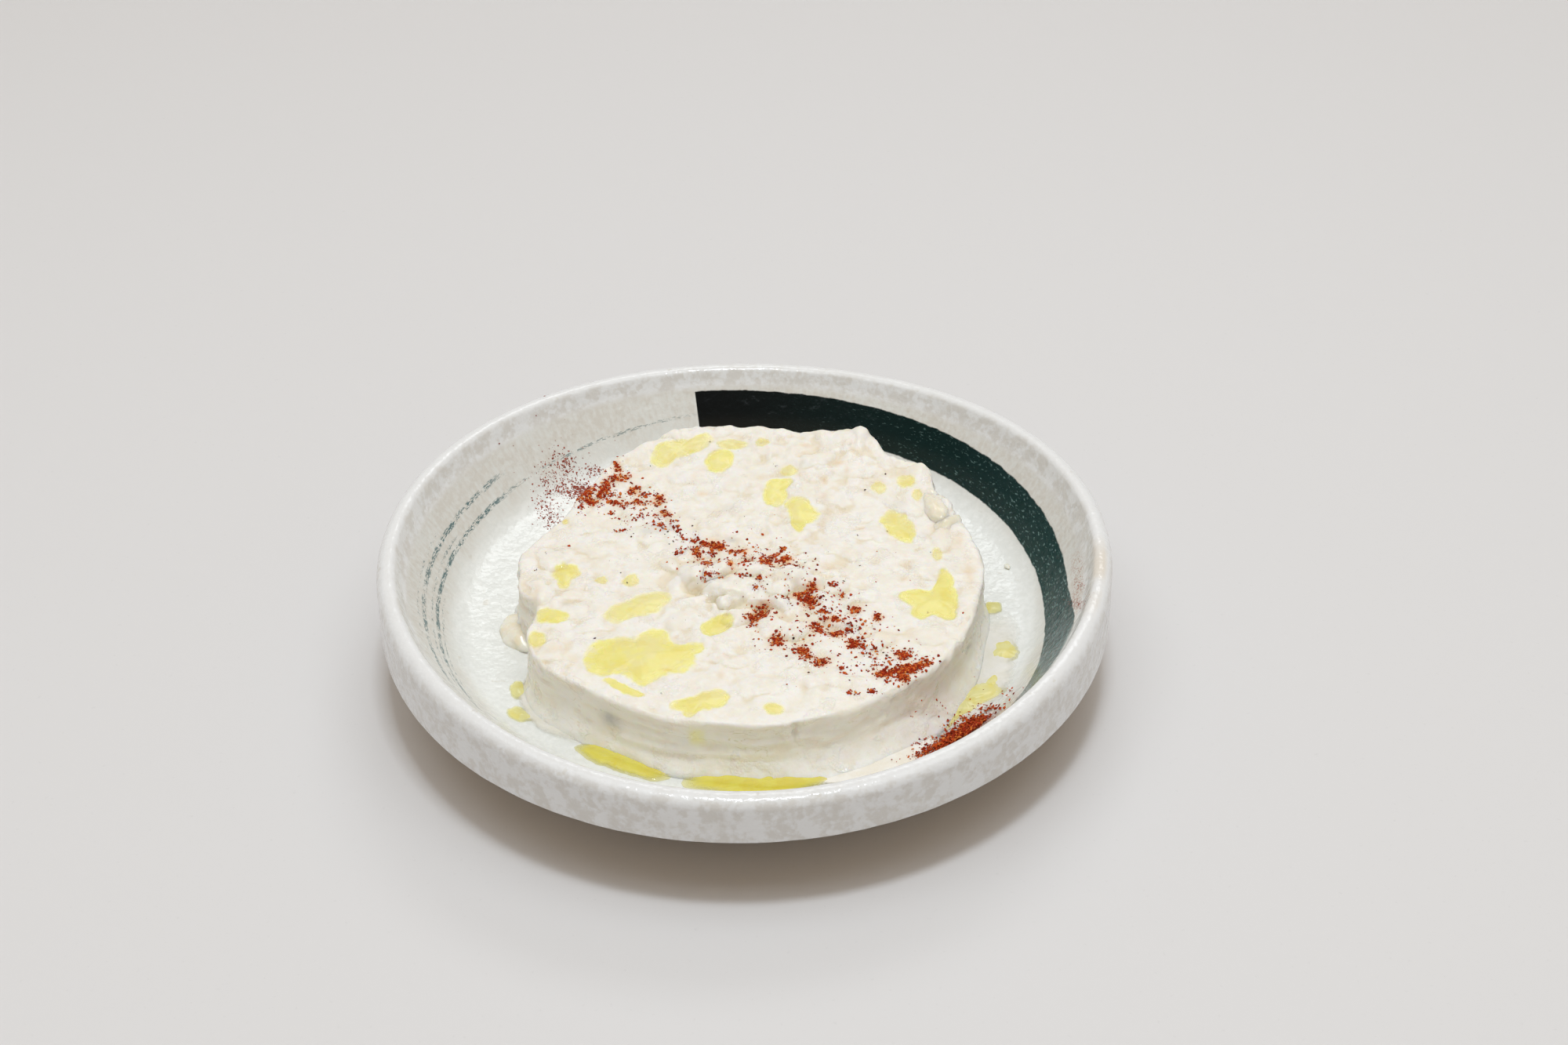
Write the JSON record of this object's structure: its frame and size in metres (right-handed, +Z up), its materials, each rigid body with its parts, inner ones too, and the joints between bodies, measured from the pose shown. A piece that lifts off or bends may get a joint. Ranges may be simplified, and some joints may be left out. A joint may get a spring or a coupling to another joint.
{
  "type": "baba ganoush in a dish",
  "caption": "Aubergine dip turned out as a round cake in a shallow glazed stoneware dish, with pools of olive oil at its foot; a ready starter for a laid table.",
  "frame": {"origin": "on the table, under the middle of the dish", "axes": "+Z up; -Y is the side the dish is seen from; +X to the right"},
  "size_m": [0.2012, 0.2012, 0.0394],
  "materials": {
    "glaze": "glossy off-white stoneware glaze with fine mottling",
    "dip": "moist cream-coloured aubergine and yoghurt dip",
    "oil": "clear glossy yellow olive oil"
  },
  "bodies": {
    "root": {"dish": "glaze", "baba_ganoush": "dip", "oil_pool_left": "oil", "oil_pool_front": "oil", "oil_pool_right": "oil"}
  },
  "joints": []
}
